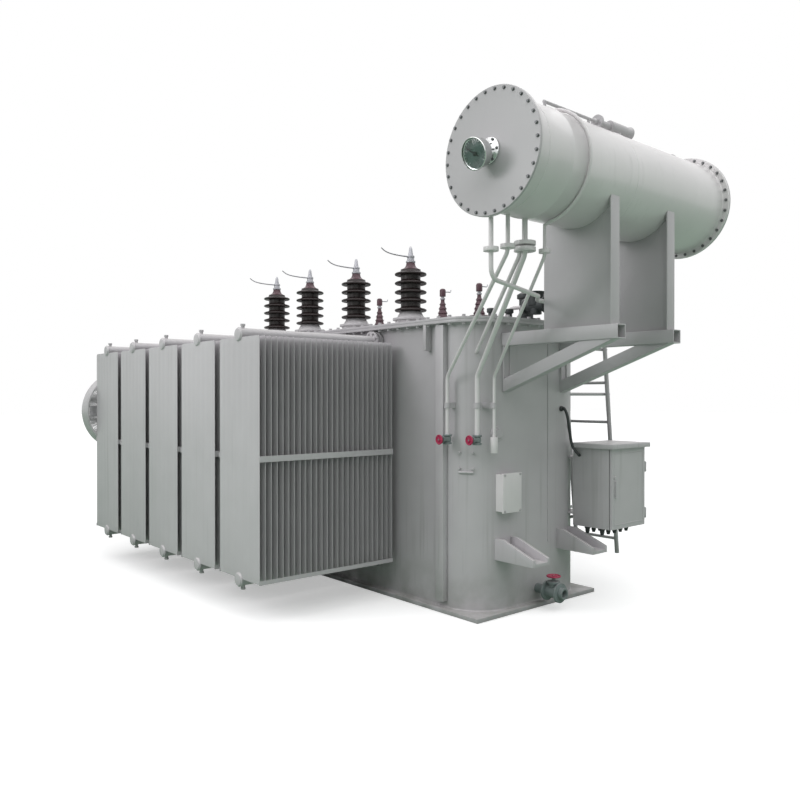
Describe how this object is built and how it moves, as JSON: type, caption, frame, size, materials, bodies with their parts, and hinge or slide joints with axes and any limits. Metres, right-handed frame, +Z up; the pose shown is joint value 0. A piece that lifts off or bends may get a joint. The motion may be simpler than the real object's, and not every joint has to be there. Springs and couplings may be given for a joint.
{
  "type": "oil-immersed power transformer with conservator and panel radiators",
  "caption": "Pale grey power transformer: rounded tank on a base plate, panel radiators on both sides, brown bushings on the cover and a round conservator on brackets at one end.",
  "frame": {"origin": "on the ground under the middle of the base plate", "axes": "+Z up, +X along the tank towards the conservator end, -Y the side with the longer bank of radiators"},
  "size_m": [5.507, 3.802, 3.3709],
  "materials": {
    "painted_steel": "satin",
    "brown_porcelain": "gloss",
    "terminal_metal": "satin",
    "gauge_metal": "gloss",
    "gauge_glass": "gloss",
    "dark_fittings": "satin",
    "valve_green": "satin",
    "wheel_red": "satin",
    "gland_black": "matte",
    "fan_aluminium": "satin"
  },
  "bodies": {
    "transformer": {"base_plate": "painted_steel", "tank_body": "painted_steel", "tank_rim": "painted_steel", "tank_stiffeners": "painted_steel", "lifting_lugs": "painted_steel", "jacking_pads": "painted_steel", "cover": "painted_steel", "bushing_turrets": "painted_steel", "front_radiators": "painted_steel", "rear_radiators": "painted_steel", "radiator_valves": "painted_steel", "radiator_links": "painted_steel", "fan_housings": "painted_steel", "conservator_shell": "painted_steel", "conservator_end_covers": "painted_steel", "conservator_saddles": "painted_steel", "conservator_arms": "painted_steel", "conservator_struts": "painted_steel", "conservator_fittings": "painted_steel", "main_oil_pipe": "painted_steel", "breather_pipe": "painted_steel", "service_pipes": "painted_steel", "pipe_clamps": "painted_steel", "cabinet_body": "painted_steel", "terminal_box": "painted_steel", "ladder_rails": "painted_steel", "ladder_rungs": "painted_steel", "ladder_brackets": "painted_steel", "hv_porcelains": "brown_porcelain", "lv_porcelains": "brown_porcelain", "hv_terminals": "terminal_metal", "lv_terminals": "terminal_metal", "oil_level_gauge": "gauge_metal", "gauge_glass": "gauge_glass", "cover_fittings": "dark_fittings", "buchholz_relay": "dark_fittings", "gate_valves": "valve_green", "cable_glands": "gland_black", "fan_blades": "fan_aluminium"},
    "door": {"cabinet_door": "painted_steel"},
    "fill_wheel": {"fill_valve_wheel": "wheel_red"},
    "filter_wheel": {"filter_valve_wheel": "wheel_red"},
    "drain_wheel": {"drain_valve_wheel": "wheel_red"}
  },
  "joints": [
    {"name": "door_hinge", "type": "hinge", "parent": "transformer", "child": "door", "pos_m": [2.474, 0.839, 0.85], "axis": [0, 0, 1], "range_deg": [0, 110]},
    {"name": "fill_wheel_turn", "type": "hinge", "parent": "transformer", "child": "fill_wheel", "pos_m": [1.87, -0.665, 1.225], "axis": [0, -1, 0], "continuous": true},
    {"name": "filter_wheel_turn", "type": "hinge", "parent": "transformer", "child": "filter_wheel", "pos_m": [2.07, -0.575, 1.225], "axis": [0, -1, 0], "continuous": true},
    {"name": "drain_wheel_turn", "type": "hinge", "parent": "transformer", "child": "drain_wheel", "pos_m": [2.25, 0.025, 0.23], "axis": [0, 0, 1], "continuous": true}
  ]
}
